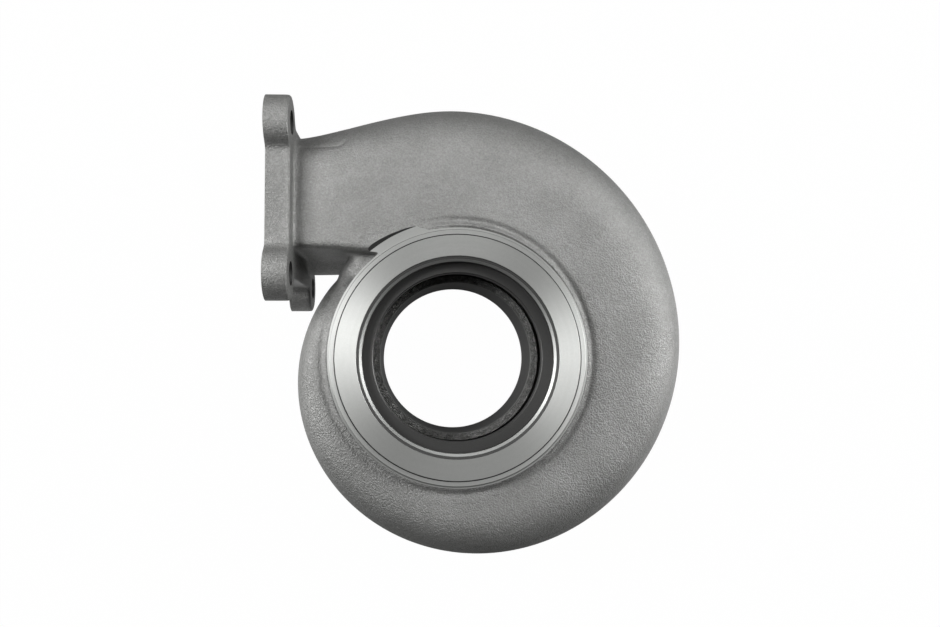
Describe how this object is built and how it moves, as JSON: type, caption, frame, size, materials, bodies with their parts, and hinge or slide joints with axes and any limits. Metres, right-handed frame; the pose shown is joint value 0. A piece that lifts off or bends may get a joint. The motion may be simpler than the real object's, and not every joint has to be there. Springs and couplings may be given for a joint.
{
  "type": "turbine housing",
  "caption": "Cast turbine housing of a twin-entry turbocharger: divided spiral scroll, four-bolt inlet flange, machined bearing ring and exducer bore.",
  "frame": {"origin": "on the turbine axis, in the plane of the outlet face on which the part rests", "axes": "+Z along the turbine axis towards the bearing side, -X out of the inlet flange"},
  "size_m": [0.2006, 0.2181, 0.1124],
  "materials": {
    "cast_steel": "fine shot-blasted casting, turned faces at the bearing ring and bores"
  },
  "bodies": {
    "root": {"turbine_housing": "cast_steel"}
  },
  "joints": []
}
